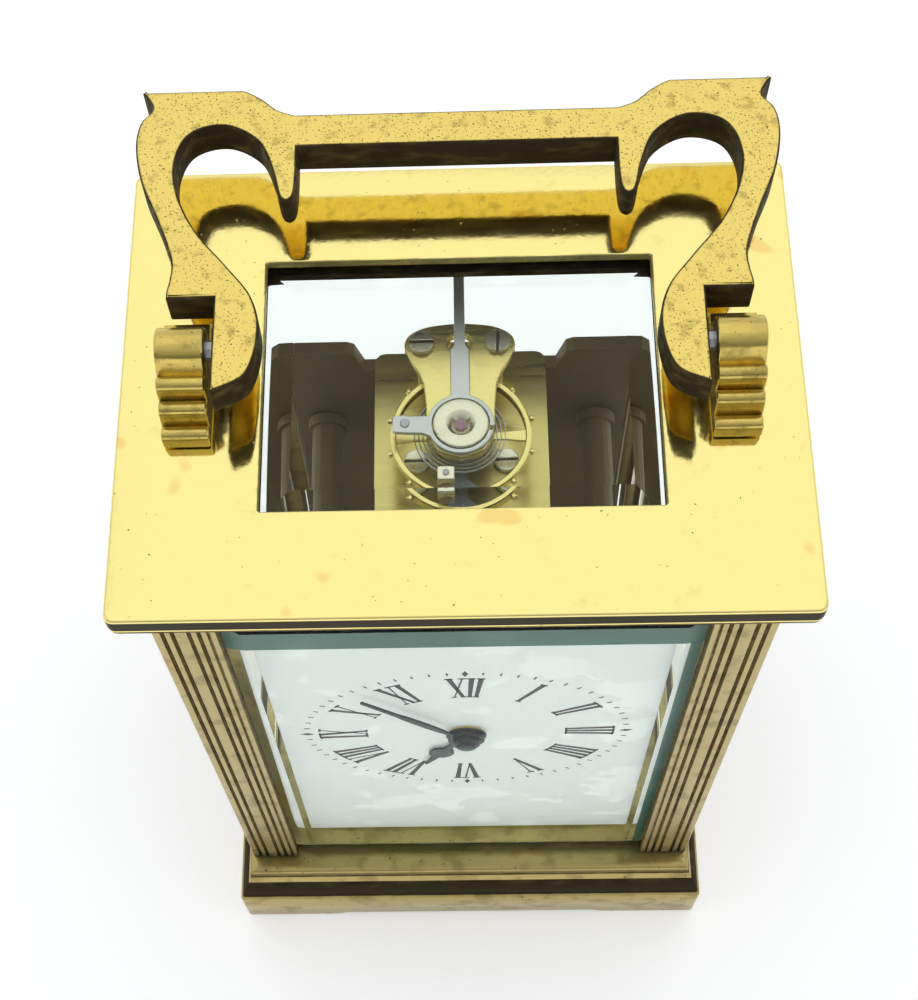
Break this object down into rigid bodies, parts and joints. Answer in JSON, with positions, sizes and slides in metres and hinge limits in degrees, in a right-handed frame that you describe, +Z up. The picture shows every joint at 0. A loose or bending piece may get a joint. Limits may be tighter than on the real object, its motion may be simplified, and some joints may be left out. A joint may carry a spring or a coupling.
{
  "type": "mantel clock",
  "caption": "Brass carriage clock with bevelled glasses, a white Roman dial, a folding handle on top and a visible lever platform.",
  "frame": {"origin": "middle of the rectangle the plinth stands on, at the height of its feet", "axes": "+Z up, the dial faces -Y, +X to the right as the dial is read"},
  "size_m": [0.084, 0.074, 0.1344],
  "materials": {
    "brass_polished": "polished, with fine specks",
    "brass_aged": "polished, tarnished in the grooves, pitted",
    "brass_movement": "brushed and lacquered",
    "steel": "polished steel",
    "nickel": "satin nickel",
    "blued_steel": "dark blued steel",
    "dial_white": "white enamel",
    "clear_glass": "clear, bevelled, green at the edges"
  },
  "bodies": {
    "case": {"base_plinth": "brass_aged", "base_plate": "brass_aged", "post_front_left": "brass_aged", "post_front_right": "brass_aged", "post_rear_left": "brass_aged", "post_rear_right": "brass_aged", "cornice_frame": "brass_aged", "top_plate": "brass_polished", "top_glass": "clear_glass", "front_glass": "clear_glass", "side_glass_left": "clear_glass", "side_glass_right": "clear_glass", "door_pin_top": "steel", "door_pin_bottom": "steel", "handle_lug_left": "brass_aged", "handle_lug_right": "brass_aged", "handle_pin_left": "steel", "handle_pin_right": "steel", "dial_plate": "dial_white", "movement_front_plate": "brass_movement", "movement_back_plate": "brass_movement", "pillar_low_left": "brass_movement", "pillar_low_right": "brass_movement", "pillar_high_left": "brass_movement", "pillar_high_right": "brass_movement", "minute_wheel_stud": "steel", "click_screw": "steel", "platform_plate": "brass_movement", "platform_screw_left": "steel", "platform_screw_right": "steel", "balance_cock": "brass_movement", "cock_screw_left": "steel", "cock_screw_right": "steel", "end_cap": "nickel", "hairspring": "steel"},
    "handle": {"handle": "brass_aged"},
    "rear_door": {"rear_door_frame": "brass_aged", "rear_door_glass": "clear_glass", "door_knob": "brass_aged"},
    "minute_hand": {"minute_hand": "blued_steel", "hand_collet": "blued_steel", "cannon_pinion": "steel"},
    "minute_wheel": {"minute_wheel": "brass_movement"},
    "hour_hand": {"hour_wheel": "brass_movement", "hour_hand": "blued_steel"},
    "contrate_wheel": {"contrate_wheel": "brass_movement"},
    "third_wheel": {"third_wheel": "brass_movement"},
    "centre_wheel": {"centre_wheel": "brass_movement"},
    "intermediate_wheel": {"intermediate_wheel": "brass_movement"},
    "barrel": {"barrel": "brass_movement", "barrel_cover": "brass_movement", "mainspring": "steel"},
    "escape_wheel": {"escape_wheel": "steel"},
    "winding_arbor": {"barrel_arbor": "steel", "ratchet_wheel": "steel"},
    "click": {"click": "steel"},
    "pallet_lever": {"pallet_lever": "steel"},
    "balance": {"balance_wheel": "brass_movement"},
    "regulator": {"regulator_index": "nickel"}
  },
  "joints": [
    {"name": "handle_fold", "type": "hinge", "parent": "case", "child": "handle", "pos_m": [0, 0, 0.1314], "axis": [1, 0, 0], "range_deg": [0, 120]},
    {"name": "rear_door_swing", "type": "hinge", "parent": "case", "child": "rear_door", "pos_m": [0.028, 0.0287, 0], "axis": [0, 0, -1], "range_deg": [0, 90]},
    {"name": "minute_hand_turn", "type": "hinge", "parent": "case", "child": "minute_hand", "pos_m": [0, 0, 0.0667], "axis": [0, 1, 0], "continuous": true},
    {"name": "minute_wheel_turn", "type": "hinge", "parent": "case", "child": "minute_wheel", "pos_m": [0.0084, 0, 0.0667], "axis": [0, 1, 0], "continuous": true},
    {"name": "hour_hand_turn", "type": "hinge", "parent": "case", "child": "hour_hand", "pos_m": [0, 0, 0.0667], "axis": [0, 1, 0], "continuous": true},
    {"name": "contrate_turn", "type": "hinge", "parent": "case", "child": "contrate_wheel", "pos_m": [0, 0, 0.0878], "axis": [0, 1, 0], "continuous": true},
    {"name": "third_turn", "type": "hinge", "parent": "case", "child": "third_wheel", "pos_m": [-0.00588, 0, 0.07825], "axis": [0, 1, 0], "continuous": true},
    {"name": "centre_turn", "type": "hinge", "parent": "case", "child": "centre_wheel", "pos_m": [0, 0, 0.0667], "axis": [0, 1, 0], "continuous": true},
    {"name": "intermediate_turn", "type": "hinge", "parent": "case", "child": "intermediate_wheel", "pos_m": [0.00788, 0, 0.05598], "axis": [0, 1, 0], "continuous": true},
    {"name": "barrel_turn", "type": "hinge", "parent": "case", "child": "barrel", "pos_m": [0, 0, 0.0398], "axis": [0, 1, 0], "continuous": true},
    {"name": "escape_turn", "type": "hinge", "parent": "case", "child": "escape_wheel", "pos_m": [0, -0.0108, 0], "axis": [0, 0, 1], "continuous": true},
    {"name": "winding_turn", "type": "hinge", "parent": "case", "child": "winding_arbor", "pos_m": [0, 0, 0.0398], "axis": [0, 1, 0], "continuous": true},
    {"name": "click_rock", "type": "hinge", "parent": "case", "child": "click", "pos_m": [0.009, 0, 0.0438], "axis": [0, 1, 0], "range_deg": [-6, 0], "stiffness_Nm_per_rad": 0.0001},
    {"name": "lever_rock", "type": "hinge", "parent": "case", "child": "pallet_lever", "pos_m": [0, -0.0054, 0], "axis": [0, 0, 1], "range_deg": [-5, 5]},
    {"name": "balance_swing", "type": "hinge", "parent": "case", "child": "balance", "pos_m": [0, 0, 0], "axis": [0, 0, 1], "range_deg": [-135, 135], "stiffness_Nm_per_rad": 0.000006},
    {"name": "regulator_turn", "type": "hinge", "parent": "case", "child": "regulator", "pos_m": [0, 0, 0], "axis": [0, 0, 1], "range_deg": [-10, 10]}
  ],
  "couplings": [
    {"joint": "minute_wheel_turn", "follows": "minute_hand_turn", "ratio": -0.33333},
    {"joint": "hour_hand_turn", "follows": "minute_hand_turn", "ratio": 0.083333},
    {"joint": "third_turn", "follows": "contrate_turn", "ratio": -0.13333},
    {"joint": "centre_turn", "follows": "contrate_turn", "ratio": 0.016667},
    {"joint": "intermediate_turn", "follows": "contrate_turn", "ratio": -0.0027778},
    {"joint": "barrel_turn", "follows": "contrate_turn", "ratio": 0.00034722},
    {"joint": "escape_turn", "follows": "contrate_turn", "ratio": -8}
  ]
}
